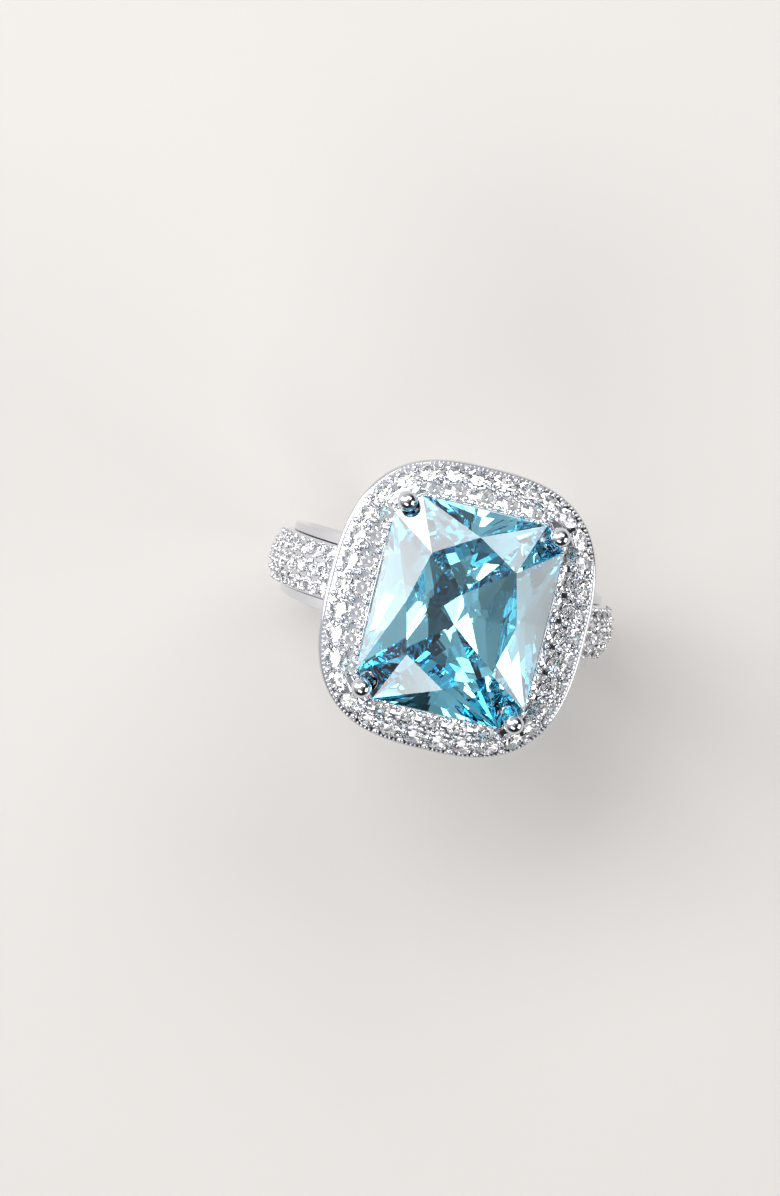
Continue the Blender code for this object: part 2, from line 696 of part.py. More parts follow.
def main():
    clear_scene()
    metal = make_material("rhodium_plated_silver", (0.86, 0.87, 0.89), 1.0, 0.12)
    blue = make_material("aqua_blue_stone", (0.03, 0.42, 0.66), 0.0, 0.03, 2.15)
    white = make_material("white_stone", (0.88, 0.90, 0.94), 0.0, 0.05, 2.15)

    make_shank(metal)
    shape = bmesh.new()
    add_small_stone(shape, SHOULDER_STONE_RADIUS)
    shoulder_stone = finish_mesh("shoulder_stone", shape)
    make_shoulder(1, "right", metal, white, shoulder_stone)
    make_shoulder(-1, "left", metal, white, shoulder_stone)

    shape = bmesh.new()
    add_small_stone(shape, HALO_STONE_RADIUS)
    make_halo(metal, white, finish_mesh("halo_stone", shape))
    wire_ring("halo_rim", RIM_PATH, RIM_RADIUS, rim_height, metal, HALO_STEPS)
    wire_ring("base_rail", BASE_RAIL, BASE_RAIL_RADIUS, base_rail_height, metal, WIRE_STEPS)
    wire_ring("gallery_wire", GALLERY_WIRE, GALLERY_WIRE_RADIUS, gallery_wire_height, metal, WIRE_STEPS)
    make_stone_seat(metal)
    make_centre_stone(blue)
    for name, side_x, side_y in (
        ("claw_back_right", 1, 1),
        ("claw_back_left", -1, 1),
        ("claw_front_left", -1, -1),
        ("claw_front_right", 1, -1),
    ):
        make_claw(name, side_x, side_y, metal)


main()
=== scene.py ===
"""Looks of a cocktail ring: rhodium-plated silver, one large aqua stone and rows of small clear stones.

Sizes are in millimetres until a mesh is finished, when they are turned to metres. The finger runs
along Y, +Z points out of the big stone, and the origin is the centre of the finger hole.
"""

import bisect
import math

import bmesh
import bpy
from mathutils import Matrix, Vector


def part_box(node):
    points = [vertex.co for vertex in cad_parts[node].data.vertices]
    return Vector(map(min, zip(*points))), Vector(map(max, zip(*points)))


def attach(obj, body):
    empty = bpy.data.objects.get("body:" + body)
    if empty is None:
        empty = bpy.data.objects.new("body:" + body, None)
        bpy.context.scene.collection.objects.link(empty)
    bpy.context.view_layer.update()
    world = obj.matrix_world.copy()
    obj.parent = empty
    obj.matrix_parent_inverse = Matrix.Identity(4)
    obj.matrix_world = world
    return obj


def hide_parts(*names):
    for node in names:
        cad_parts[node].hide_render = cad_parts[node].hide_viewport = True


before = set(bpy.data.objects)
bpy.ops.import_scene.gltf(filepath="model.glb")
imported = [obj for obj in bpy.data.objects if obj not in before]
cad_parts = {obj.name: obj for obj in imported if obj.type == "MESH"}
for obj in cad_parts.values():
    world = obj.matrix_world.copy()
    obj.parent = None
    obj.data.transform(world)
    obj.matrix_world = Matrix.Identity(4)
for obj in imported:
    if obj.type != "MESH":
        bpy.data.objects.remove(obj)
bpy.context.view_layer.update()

MM = 0.001
UP = Vector((0.0, 0.0, 1.0))
FULL_TURN = 6.283


def cad_box(node):
    """Lowest and highest corners of a CAD node, in millimetres."""
    low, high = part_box(node)
    return low / MM, high / MM


STONE_LOW, STONE_HIGH = cad_box("centre_stone")
HALO_LOW = cad_box("halo_plate")[0]
RIM_LOW, RIM_HIGH = cad_box("halo_rim")
SHANK_LOW, SHANK_HIGH = cad_box("shank")
OUTER_HIGH = cad_box("halo_outer_stone_row")[1]
SIDE_STONE_LOW, SIDE_STONE_HIGH = cad_box("halo_stone_01")

# Centre stone: each corner loses CORNER along both sides, and KEEL is half the length of its bottom edge
HALF_WIDTH = STONE_HIGH.x
HALF_LENGTH = STONE_HIGH.y
CORNER = 1.3
TABLE_HEIGHT = STONE_HIGH.z
CULET_HEIGHT = STONE_LOW.z
CROWN = 1.3
GIRDLE = 0.3
KEEL = 0.9
GIRDLE_TOP = TABLE_HEIGHT - CROWN
GIRDLE_BOTTOM = GIRDLE_TOP - GIRDLE
# Points of the table, as shares of the stone's half width and half length
TABLE_CORNER = (0.5, 0.5)
TABLE_SIDE = 0.65
TABLE_END = 0.75
# Breaks of the pavilion: share of the way in from the girdle, and share of the depth at it
PAVILION_BREAKS = ((0.25, 0.28), (0.50, 0.535), (0.75, 0.775))

# Small single-cut stones: sizes as shares of the radius, and how wide and deep their seats are
SMALL_SIDES = 8
SMALL_TABLE = 0.58
SMALL_CROWN = 0.32
SMALL_PAVILION = 0.80
SMALL_GIRDLE = 0.03
SEAT_SHARE = 0.96
HALO_SEAT_DEPTH = 0.6
SHOULDER_SEAT_DEPTH = 0.5

# Faces round a bead and from its top to its bottom
BEAD_SIDES = 9
BEAD_LEVELS = 6

# Halo rows: stone and bead sizes are radii, and a row is its half width, half length and squareness.
# A line is a row, its height, how far it leans outwards in degrees, and how many places it has.
HALO_STONE = 0.65
STONE_RISE = 0.02
PAVED_DEPTH = 0.1
INNER_ROW = ((SIDE_STONE_LOW.x + SIDE_STONE_HIGH.x) / 2, HALF_LENGTH + 0.68, 3.5)
INNER_ROW_HEIGHT = GIRDLE_BOTTOM - 0.29
INNER_LEAN = 8.0
INNER_PLACES = 28
OUTER_LEAN = 47.0
OUTER_REACH = math.cos(math.radians(OUTER_LEAN)) * HALO_STONE + 0.04
OUTER_ROW = (OUTER_HIGH.x - OUTER_REACH, OUTER_HIGH.y - OUTER_REACH, 2.95)
OUTER_ROW_HEIGHT = GIRDLE_BOTTOM - 0.65
OUTER_PLACES = 34
INNER_LINE = (INNER_ROW, INNER_ROW_HEIGHT, INNER_LEAN, INNER_PLACES)
OUTER_LINE = (OUTER_ROW, OUTER_ROW_HEIGHT, OUTER_LEAN, OUTER_PLACES)
HALO_BEAD = 0.22
HALO_BEAD_OUT = 0.43
HALO_BEAD_RISE = 0.09
HALO_BEAD_CLEAR = 1.15
EDGE_BEAD = 0.085
EDGE_BEAD_OUT = 0.5
EDGE_BEADS = 6 * OUTER_PLACES
EDGE_ROW = (OUTER_ROW[0] + EDGE_BEAD_OUT, OUTER_ROW[1] + EDGE_BEAD_OUT, OUTER_ROW[2])
EDGE_LINE = (EDGE_ROW, OUTER_ROW_HEIGHT - 0.55, OUTER_LEAN, EDGE_BEADS)

# Shoulders: start, end and trim are degrees down from the top of the ring, and crest is a radius of it
SHOULDER_START = 35.0
SHOULDER_END = 99.0
SHOULDER_MIDDLE = (SHOULDER_START + SHOULDER_END) / 2
SHOULDER_TRIM = 0.3
SHOULDER_CREST = 10.36
SHOULDER_HALF = 1.64
SHOULDER_STONE = 0.55
SHOULDER_ROWS = (-1, 0, 1)
SHOULDER_ROW_OUT = 1.075
SHOULDER_ROW_LEAN = 26.0
SHOULDER_DROP = 0.24
SHOULDER_DROP_POWER = 2.15
SHOULDER_COLUMNS = 9
SHOULDER_PITCH = 1.15
SHOULDER_BEAD = 0.155
SHOULDER_BEAD_OUT = 0.3
SHOULDER_BEAD_RISE = 0.1

# Band: radii inside and outside, half widths, and the degrees over which the outside rises to the rails
BORE = 8.65
BAND_TOP = 9.0
RAIL = 9.5
BAND_BOTTOM = -SHANK_LOW.z - 0.08
CHANNEL_FLOOR = 8.98
BAND_TOP_HALF = SHANK_HIGH.y
BAND_SIDE_HALF = 2.15
BAND_BOTTOM_HALF = 1.5
BAND_DOME = 0.08
PAVING_GAP = 0.06
NARROWEST_RAIL = 0.2
BAND_RISE_SPAN = 9.0

# Wires, claws and seat: the base rail lies at one distance from the finger's axis
RIM_RADIUS = 0.25
RIM_PATH = (RIM_HIGH.x - RIM_RADIUS, RIM_HIGH.y - RIM_RADIUS, 2.85)
RIM_HEIGHT = (RIM_LOW.z + RIM_HIGH.z) / 2
BASE_RAIL_RADIUS = 0.3
BASE_RAIL_LIE = 9.43
GALLERY_RADIUS = 0.28
WIRE_SQUARENESS = 4.0
WIRE_SIDES = 14
CLAW_SIDES = 24
CLAW_RADIUS = 0.38
CLAW_BALL = 0.6
CLAW_BALL_RISE = 0.61
CLAW_BALL_OUT = 0.24
CLAW_GAP = 0.07
CLAW_FOOT_RISE = 0.2
CLAW_KNEE_DROP = 1.25
CLAW_BEND = 0.85
SEAT_TOP = GIRDLE_BOTTOM - 0.35
SEAT_FOOT = GIRDLE_BOTTOM - 0.95

# Finishes: sizes of the marks that each surface carries
POLISHING_HAZE = 1.1
POLISHED_WAVE = 2.9
FACET_MARK = 0.25
PAPER_TOOTH = 0.8


def linear(hex_code):
    """sRGB hex to linear colour."""
    channels = [int(hex_code[index : index + 2], 16) / 255 for index in (1, 3, 5)]
    return (*[c / 12.92 if c <= 0.04045 else ((c + 0.055) / 1.055) ** 2.4 for c in channels], 1.0)


def add_node(tree, kind, settings=None, links=None):
    """Add a node; a setting whose name is one of its sockets sets that socket."""
    node = tree.nodes.new(kind)
    for name, value in (settings or {}).items():
        if isinstance(name, str) and hasattr(node, name) and name not in node.inputs:
            setattr(node, name, value)
        else:
            node.inputs[name].default_value = value
    for socket, source in (links or {}).items():
        tree.links.new(source, node.inputs[socket])
    return node


def per_metre(size):
    """Texture scale that repeats about once in the given number of millimetres."""
    return 1.0 / (size * MM)


def new_material(name):
    material = bpy.data.materials.new(name)
    material.use_nodes = True
    material.node_tree.nodes.clear()
    return material, material.node_tree


def rhodium_plated_silver():
    """Rhodium over silver, buffed to a mirror: bright and slightly cool.

    Buffing leaves a faint haze in patches and a slow wave in the surface, which soften a reflection
    here and there. Both are drawn coarser than the real ones, so that they show.
    """
    material, tree = new_material("rhodium_plated_silver")
    place = add_node(tree, "ShaderNodeTexCoord").outputs["Object"]
    haze = add_node(
        tree, "ShaderNodeTexNoise", {"Scale": per_metre(POLISHING_HAZE), "Detail": 3.0}, {"Vector": place}
    )
    rough = add_node(
        tree,
        "ShaderNodeMapRange",
        {"From Min": 0.3, "From Max": 0.7, "To Min": 0.04, "To Max": 0.11},
        {"Value": haze.outputs["Fac"]},
    )
    wave = add_node(
        tree, "ShaderNodeTexNoise", {"Scale": per_metre(POLISHED_WAVE), "Detail": 1.0}, {"Vector": place}
    )
    bump = add_node(
        tree, "ShaderNodeBump", {"Strength": 0.12, "Distance": 0.02 * MM}, {"Height": wave.outputs["Fac"]}
    )
    shader = add_node(
        tree,
        "ShaderNodeBsdfPrincipled",
        {"Base Color": linear("#dcdde2"), "Metallic": 1.0},
        {"Roughness": rough.outputs["Result"], "Normal": bump.outputs["Normal"]},
    )
    add_node(tree, "ShaderNodeOutputMaterial", links={"Surface": shader.outputs["BSDF"]})
    return material


def cut_zirconia(name, passed, density):
    """Cubic zirconia, sawn, cut and lapped: glassy facets that bend light hard and flash white.

    The colour comes from the depth of stone that light has crossed: passed is the colour that gets
    through, and a density of zero leaves it clear. Lapping leaves patches that are a hair less sharp,
    drawn coarser than the real ones.
    """
    material, tree = new_material(name)
    place = add_node(tree, "ShaderNodeTexCoord").outputs["Object"]
    lapping = add_node(
        tree, "ShaderNodeTexNoise", {"Scale": per_metre(FACET_MARK), "Detail": 2.0}, {"Vector": place}
    )
    rough = add_node(
        tree,
        "ShaderNodeMapRange",
        {"From Min": 0.4, "From Max": 0.7, "To Min": 0.0, "To Max": 0.015},
        {"Value": lapping.outputs["Fac"]},
    )
    shader = add_node(
        tree,
        "ShaderNodeBsdfPrincipled",
        {"Base Color": linear("#ffffff"), "IOR": 2.16, "Transmission Weight": 1.0},
        {"Roughness": rough.outputs["Result"]},
    )
    output = add_node(tree, "ShaderNodeOutputMaterial", links={"Surface": shader.outputs["BSDF"]})
    if density:
        depth = add_node(
            tree, "ShaderNodeVolumeAbsorption", {"Color": linear(passed), "Density": density}
        )
        tree.links.new(depth.outputs["Volume"], output.inputs["Volume"])
    return material


def studio_paper():
    """Matt white cartridge paper under the ring: its pressed tooth breaks up the light a little."""
    material, tree = new_material("studio_paper")
    place = add_node(tree, "ShaderNodeTexCoord").outputs["Object"]
    tooth = add_node(
        tree, "ShaderNodeTexNoise", {"Scale": per_metre(PAPER_TOOTH), "Detail": 4.0}, {"Vector": place}
    )
    bump = add_node(
        tree, "ShaderNodeBump", {"Strength": 0.1, "Distance": 0.05 * MM}, {"Height": tooth.outputs["Fac"]}
    )
    shader = add_node(
        tree,
        "ShaderNodeBsdfPrincipled",
        {"Base Color": linear("#c6c3bf"), "Roughness": 0.8},
        {"Normal": bump.outputs["Normal"]},
    )
    add_node(tree, "ShaderNodeOutputMaterial", links={"Surface": shader.outputs["BSDF"]})
    return material


# Shapes --------------------------------------------------------------------------------------------


def finish_mesh(name, shape, smooth_angle=None):
    """Turn a bmesh in millimetres into a mesh in metres with its faces outward."""
    bmesh.ops.recalc_face_normals(shape, faces=shape.faces)
    bmesh.ops.scale(shape, vec=(MM, MM, MM), verts=shape.verts)
    mesh = bpy.data.meshes.new(name)
    shape.to_mesh(mesh)
    shape.free()
    if smooth_angle is not None:
        mesh.shade_smooth()
        mesh.set_sharp_from_angle(angle=math.radians(smooth_angle))
    return mesh


def make_object(name, mesh, material=None):
    thing = bpy.data.objects.new(name, mesh)
    bpy.context.scene.collection.objects.link(thing)
    if material:
        mesh.materials.clear()
        mesh.materials.append(material)
    return thing


def loft(shape, rings, closed):
    """Skin a run of rings that have the same number of points, with an end cap on an open run."""
    rows = [[shape.verts.new(point) for point in ring] for ring in rings]
    count = len(rows[0])
    pairs = list(zip(rows, rows[1:]))
    if closed:
        pairs.append((rows[-1], rows[0]))
    for near, far in pairs:
        for index in range(count):
            after = (index + 1) % count
            shape.faces.new((near[index], near[after], far[after], far[index]))
    if not closed:
        shape.faces.new(rows[0])
        shape.faces.new(rows[-1])


def loft_object(name, rings, material, closed=True, smooth_angle=40.0):
    shape = bmesh.new()
    loft(shape, rings, closed)
    return make_object(name, finish_mesh(name, shape, smooth_angle), material)


def round_corners(corners, steps=4):
    """A closed outline from (x, y, radius) corners, each rounded by a short curve."""
    outline = []
    for index, (x, y, radius) in enumerate(corners):
        here = Vector((x, y))
        if not radius:
            outline.append(here)
            continue
        before = Vector(corners[index - 1][:2])
        after = Vector(corners[(index + 1) % len(corners)][:2])
        start = here + (before - here).normalized() * radius
        end = here + (after - here).normalized() * radius
        for step in range(steps + 1):
            share = step / steps
            outline.append(start.lerp(here, share).lerp(here.lerp(end, share), share))
    return outline


def mix(low, high, share):
    return low + (high - low) * min(1.0, max(0.0, share))


def ease(low, high, share):
    share = min(1.0, max(0.0, share))
    return low + (high - low) * share * share * (3 - 2 * share)


def polar(angle, radius, height):
    return Vector((radius * math.cos(angle), radius * math.sin(angle), height))


def cushion_radius(angle, path):
    """Distance from the centre to a cushion outline of given half width, half length and squareness."""
    half_x, half_y, power = path
    across = abs(math.cos(angle)) / half_x
    along = abs(math.sin(angle)) / half_y
    return (across**power + along**power) ** (-1.0 / power)


def stone_radius(angle, offset):
    """Distance from the centre to the big stone's outline moved outwards by offset."""
    across = max(abs(math.cos(angle)), 1e-9)
    along = max(abs(math.sin(angle)), 1e-9)
    corner = (HALF_WIDTH + HALF_LENGTH - CORNER) / math.sqrt(2) + offset
    return min(
        corner * math.sqrt(2) / (across + along),
        (HALF_WIDTH + offset) / across,
        (HALF_LENGTH + offset) / along,
    )


def round_angles(steps):
    return [2 * math.pi * index / steps for index in range(steps)]


# Centre stone --------------------------------------------------------------------------------------


def mirror_quarters(shape, x, y, z):
    for side_x in (1, -1) if x else (1,):
        for side_y in (1, -1) if y else (1,):
            shape.verts.new((side_x * x, side_y * y, z))


def make_centre_stone(material):
    """Radiant cut: the facets are the faces of the smallest convex solid round its corner points.

    Below the girdle only the middles of the four sides have break points, so long facets fan out from
    the cut corners and a narrow one runs from each corner to the keel.
    """
    depth = GIRDLE_BOTTOM - CULET_HEIGHT
    shape = bmesh.new()
    for level in (GIRDLE_BOTTOM, GIRDLE_TOP):
        mirror_quarters(shape, HALF_WIDTH, HALF_LENGTH - CORNER, level)
        mirror_quarters(shape, HALF_WIDTH - CORNER, HALF_LENGTH, level)
    mirror_quarters(shape, TABLE_CORNER[0] * HALF_WIDTH, TABLE_CORNER[1] * HALF_LENGTH, TABLE_HEIGHT)
    mirror_quarters(shape, TABLE_SIDE * HALF_WIDTH, 0.0, TABLE_HEIGHT)
    mirror_quarters(shape, 0.0, TABLE_END * HALF_LENGTH, TABLE_HEIGHT)
    mirror_quarters(shape, 0.0, KEEL, CULET_HEIGHT)
    for share, fall in PAVILION_BREAKS:
        height = GIRDLE_BOTTOM - fall * depth
        mirror_quarters(shape, HALF_WIDTH * (1 - share), 0.0, height)
        mirror_quarters(shape, 0.0, mix(HALF_LENGTH, KEEL, share), height)
    bmesh.ops.convex_hull(shape, input=shape.verts)
    flat = [edge for edge in shape.edges if edge.calc_face_angle(1.0) < math.radians(0.3)]
    bmesh.ops.dissolve_edges(shape, edges=flat, use_verts=False)
    return make_object("aqua_centre_stone", finish_mesh("aqua_centre_stone", shape), material)


def brilliant_mesh(name):
    """A small single-cut stone of radius one, with its girdle at height zero."""
    levels = ((SMALL_TABLE, SMALL_CROWN), (1.0, SMALL_GIRDLE), (1.0, -SMALL_GIRDLE))
    shape = bmesh.new()
    rings = []
    for radius, height in levels:
        corners = [polar(angle, radius, height) for angle in round_angles(SMALL_SIDES)]
        rings.append([shape.verts.new(corner) for corner in corners])
    culet = shape.verts.new((0.0, 0.0, -SMALL_PAVILION))
    shape.faces.new(rings[0])
    for index in range(SMALL_SIDES):
        after = (index + 1) % SMALL_SIDES
        for upper, lower in zip(rings, rings[1:]):
            shape.faces.new((upper[index], upper[after], lower[after], lower[index]))
        shape.faces.new((rings[2][index], rings[2][after], culet))
    return finish_mesh(name, shape)


def bead_mesh(name):
    """A ball of radius one with few faces, because it is repeated hundreds of times."""
    shape = bmesh.new()
    rings = []
    for level in range(1, BEAD_LEVELS):
        fall = math.pi * level / BEAD_LEVELS
        ring = []
        for angle in round_angles(BEAD_SIDES):
            ring.append(shape.verts.new(polar(angle + math.pi / 2, math.sin(fall), math.cos(fall))))
        rings.append(ring)
    top = shape.verts.new(UP)
    bottom = shape.verts.new(-UP)
    for index in range(BEAD_SIDES):
        after = (index + 1) % BEAD_SIDES
        shape.faces.new((rings[0][index], rings[0][after], top))
        for upper, lower in zip(rings, rings[1:]):
            shape.faces.new((upper[index], upper[after], lower[after], lower[index]))
        shape.faces.new((rings[-1][index], rings[-1][after], bottom))
    return finish_mesh(name, shape, 180.0)


# Rows of small stones and beads ----------------------------------------------------------------------


def add_input(tree, name, kind, value=None):
    socket = tree.interface.new_socket(name, in_out="INPUT", socket_type=kind)
    if value is not None:
        socket.default_value = value


def row_tree(name, sides):
    """Copies of a small shape at even steps along a path, standing along the path's own up direction.

    For each of the sides there is one copy at every step, moved by that share of Beside across the path.
    A step nearer than Keep Off Reach to the point Keep Off, or its mirror images, gets none.
    """
    tree = bpy.data.node_groups.new(name, "GeometryNodeTree")
    add_input(tree, "Path", "NodeSocketGeometry")
    add_input(tree, "Shape", "NodeSocketObject")
    add_input(tree, "Count", "NodeSocketInt", 10)
    add_input(tree, "Size", "NodeSocketFloat", 1.0)
    add_input(tree, "Beside", "NodeSocketFloat", 0.0)
    add_input(tree, "Raise", "NodeSocketFloat", 0.0)
    add_input(tree, "Keep Off", "NodeSocketVector", (0.0, 0.0, 0.0))
    add_input(tree, "Keep Off Reach", "NodeSocketFloat", 0.0)
    add_input(tree, "Finish", "NodeSocketMaterial")
    tree.interface.new_socket("Row", in_out="OUTPUT", socket_type="NodeSocketGeometry")
    given = add_node(tree, "NodeGroupInput").outputs
    curve = add_node(tree, "GeometryNodeMeshToCurve", links={"Mesh": given["Path"]})
    even = add_node(
        tree,
        "GeometryNodeResampleCurve",
        {"mode": "COUNT"},
        {"Curve": curve.outputs["Curve"], "Count": given["Count"]},
    )
    up = add_node(
        tree, "GeometryNodeInputNamedAttribute", {"data_type": "FLOAT_VECTOR", "Name": "row_up"}
    )
    tangent = add_node(tree, "GeometryNodeInputTangent")
    side = add_node(
        tree,
        "ShaderNodeVectorMath",
        {"operation": "CROSS_PRODUCT"},
        {0: tangent.outputs["Tangent"], 1: up.outputs["Attribute"]},
    )
    upright = add_node(
        tree, "FunctionNodeAlignRotationToVector", {"axis": "Z"}, {"Vector": up.outputs["Attribute"]}
    )
    turned = add_node(
        tree,
        "FunctionNodeAlignRotationToVector",
        {"axis": "X", "pivot_axis": "Z"},
        {"Rotation": upright.outputs["Rotation"], "Vector": tangent.outputs["Tangent"]},
    )
    chance = add_node(tree, "FunctionNodeRandomValue", {"data_type": "FLOAT", "Seed": 7})
    spin_angle = add_node(
        tree, "ShaderNodeMath", {"operation": "MULTIPLY", 1: FULL_TURN}, {0: chance.outputs[1]}
    )
    spin = add_node(
        tree,
        "FunctionNodeAxisAngleToRotation",
        {"Axis": (0.0, 0.0, 1.0)},
        {"Angle": spin_angle.outputs["Value"]},
    )
    placed = add_node(
        tree,
        "FunctionNodeRotateRotation",
        {"rotation_space": "LOCAL"},
        {"Rotation": turned.outputs["Rotation"], "Rotate By": spin.outputs["Rotation"]},
    )
    position = add_node(tree, "GeometryNodeInputPosition")
    quarter = add_node(
        tree, "ShaderNodeVectorMath", {"operation": "ABSOLUTE"}, {0: position.outputs["Position"]}
    )
    apart = add_node(
        tree,
        "ShaderNodeVectorMath",
        {"operation": "SUBTRACT"},
        {0: quarter.outputs["Vector"], 1: given["Keep Off"]},
    )
    flat = add_node(
        tree,
        "ShaderNodeVectorMath",
        {"operation": "MULTIPLY", 1: (1.0, 1.0, 0.0)},
        {0: apart.outputs["Vector"]},
    )
    reach = add_node(
        tree, "ShaderNodeVectorMath", {"operation": "LENGTH"}, {0: flat.outputs["Vector"]}
    )
    clear = add_node(
        tree,
        "ShaderNodeMath",
        {"operation": "GREATER_THAN"},
        {0: reach.outputs["Value"], 1: given["Keep Off Reach"]},
    )
    source = add_node(tree, "GeometryNodeObjectInfo", links={"Object": given["Shape"]})
    raised = add_node(
        tree,
        "ShaderNodeVectorMath",
        {"operation": "SCALE"},
        {0: up.outputs["Attribute"], "Scale": given["Raise"]},
    )
    joined = add_node(tree, "GeometryNodeJoinGeometry")
    for direction in sides:
        beside = add_node(
            tree, "ShaderNodeMath", {"operation": "MULTIPLY", 1: direction}, {0: given["Beside"]}
        )
        shift = add_node(
            tree,
            "ShaderNodeVectorMath",
            {"operation": "SCALE"},
            {0: side.outputs["Vector"], "Scale": beside.outputs["Value"]},
        )
        offset = add_node(
            tree,
            "ShaderNodeVectorMath",
            {"operation": "ADD"},
            {0: shift.outputs["Vector"], 1: raised.outputs["Vector"]},
        )
        moved = add_node(
            tree,
            "GeometryNodeSetPosition",
            links={"Geometry": even.outputs["Curve"], "Offset": offset.outputs["Vector"]},
        )
        copies = add_node(
            tree,
            "GeometryNodeInstanceOnPoints",
            links={
                "Points": moved.outputs["Geometry"],
                "Selection": clear.outputs["Value"],
                "Instance": source.outputs["Geometry"],
                "Rotation": placed.outputs["Rotation"],
                "Scale": given["Size"],
            },
        )
        tree.links.new(copies.outputs["Instances"], joined.inputs["Geometry"])
    real = add_node(
        tree, "GeometryNodeRealizeInstances", links={"Geometry": joined.outputs["Geometry"]}
    )
    coated = add_node(
        tree,
        "GeometryNodeSetMaterial",
        links={"Geometry": real.outputs["Geometry"], "Material": given["Finish"]},
    )
    add_node(tree, "NodeGroupOutput", links={"Row": coated.outputs["Geometry"]})
    return tree


def make_path(name, places, closed):
    """A chain of edges in metres through (point, up) places, which carries the up direction of each."""
    mesh = bpy.data.meshes.new(name)
    count = len(places)
    edges = [(index, index + 1) for index in range(count - 1)]
    if closed:
        edges.append((count - 1, 0))
    mesh.from_pydata([point * MM for point, up in places], edges, [])
    attribute = mesh.attributes.new("row_up", "FLOAT_VECTOR", "POINT")
    for index, (point, up) in enumerate(places):
        attribute.data[index].vector = up
    return make_object(name, mesh)


def grow_rows(name, paths, tree, values):
    """Run a row tree along each path and join the results as one plain mesh."""
    joined = bmesh.new()
    for path in paths:
        modifier = path.modifiers.new("row", "NODES")
        modifier.node_group = tree
        for socket in tree.interface.items_tree:
            if socket.in_out == "INPUT" and socket.name in values:
                modifier[socket.identifier] = values[socket.name]
        graph = bpy.context.evaluated_depsgraph_get()
        mesh = bpy.data.meshes.new_from_object(path.evaluated_get(graph))
        joined.from_mesh(mesh)
        bpy.data.meshes.remove(mesh)
        bpy.data.objects.remove(path)
    mesh = bpy.data.meshes.new(name)
    joined.to_mesh(mesh)
    joined.free()
    return make_object(name, mesh, values["Finish"])


def even_places(path, height, lean, count, start):
    """(point, up) places evenly spaced round a cushion path, beginning a share of one step on."""
    samples = 1440
    ring = [polar(angle, cushion_radius(angle, path), height) for angle in round_angles(samples)]
    travelled = [0.0]
    for index in range(samples):
        travelled.append(travelled[-1] + (ring[(index + 1) % samples] - ring[index]).length)
    around = travelled[-1]
    tilt = math.radians(lean)
    places = []
    for step in range(count):
        target = (step + start) * around / count % around
        place = bisect.bisect_right(travelled, target) - 1
        share = (target - travelled[place]) / (travelled[place + 1] - travelled[place])
        here = ring[place]
        ahead = ring[(place + 1) % samples]
        outward = (ahead - here).normalized().cross(UP)
        up = UP * math.cos(tilt) + outward * math.sin(tilt)
        places.append((here.lerp(ahead, share), up))
    return places


def halo_path(line, start):
    """A closed path with at least a few hundred points, so that it bends smoothly between the copies."""
    path, height, lean, copies = line
    fine = max(1, round(400 / copies))
    places = even_places(path, height, lean, copies * fine, start * fine)
    return make_path("halo_path", places, closed=True)


def band_point(degrees, across, radius):
    angle = math.radians(degrees)
    return Vector((radius * math.sin(angle), across, radius * math.cos(angle)))


def shoulder_top(across):
    """Radius of the domed paving at a distance from the band's middle."""
    return SHOULDER_CREST - SHOULDER_DROP * (abs(across) / SHOULDER_ROW_OUT) ** SHOULDER_DROP_POWER


def shoulder_place(side, row, along):
    """(point, up) on a shoulder's paving, along being the distance in millimetres from its middle."""
    across = row * SHOULDER_ROW_OUT
    lean = math.radians(row * SHOULDER_ROW_LEAN)
    degrees = side * (SHOULDER_MIDDLE + math.degrees(along / SHOULDER_CREST))
    up = band_point(degrees, 0.0, 1.0) * math.cos(lean) + Vector((0.0, math.sin(lean), 0.0))
    return band_point(degrees, across, shoulder_top(across)), up


def shoulder_rows(side, extra):
    """Paths of one shoulder's three rows; extra lengthens each end by that many steps."""
    steps = 40
    reach = (SHOULDER_COLUMNS - 1) / 2 + extra
    stops = [mix(-reach, reach, step / steps) * SHOULDER_PITCH for step in range(steps + 1)]
    paths = []
    for row in SHOULDER_ROWS:
        places = [shoulder_place(side, row, along) for along in stops]
        paths.append(make_path("shoulder_path", places, closed=False))
    return paths


def seat_cutter(places, radius, depth):
    """Cone-shaped seats for small stones at (point, up) places, all in one mesh."""
    shape = bmesh.new()
    for point, up in places:
        turned = up.to_track_quat("Z", "Y").to_matrix().to_4x4()
        turned.translation = point
        rings = []
        for size, level in ((0.3 * radius, -depth), (radius, -0.12 * radius), (radius, radius)):
            rings.append([turned @ polar(angle, size, level) for angle in round_angles(20)])
        loft(shape, rings, closed=False)
    return make_object("seat_cutter", finish_mesh("seat_cutter", shape))


def cut_away(target, cutter):
    modifier = target.modifiers.new("seats", "BOOLEAN")
    modifier.operation = "DIFFERENCE"
    modifier.solver = "MANIFOLD"
    modifier.object = cutter
    graph = bpy.context.evaluated_depsgraph_get()
    mesh = bpy.data.meshes.new_from_object(target.evaluated_get(graph))
    target.modifiers.clear()
    target.data = mesh
    bpy.data.objects.remove(cutter)


# Metalwork -----------------------------------------------------------------------------------------


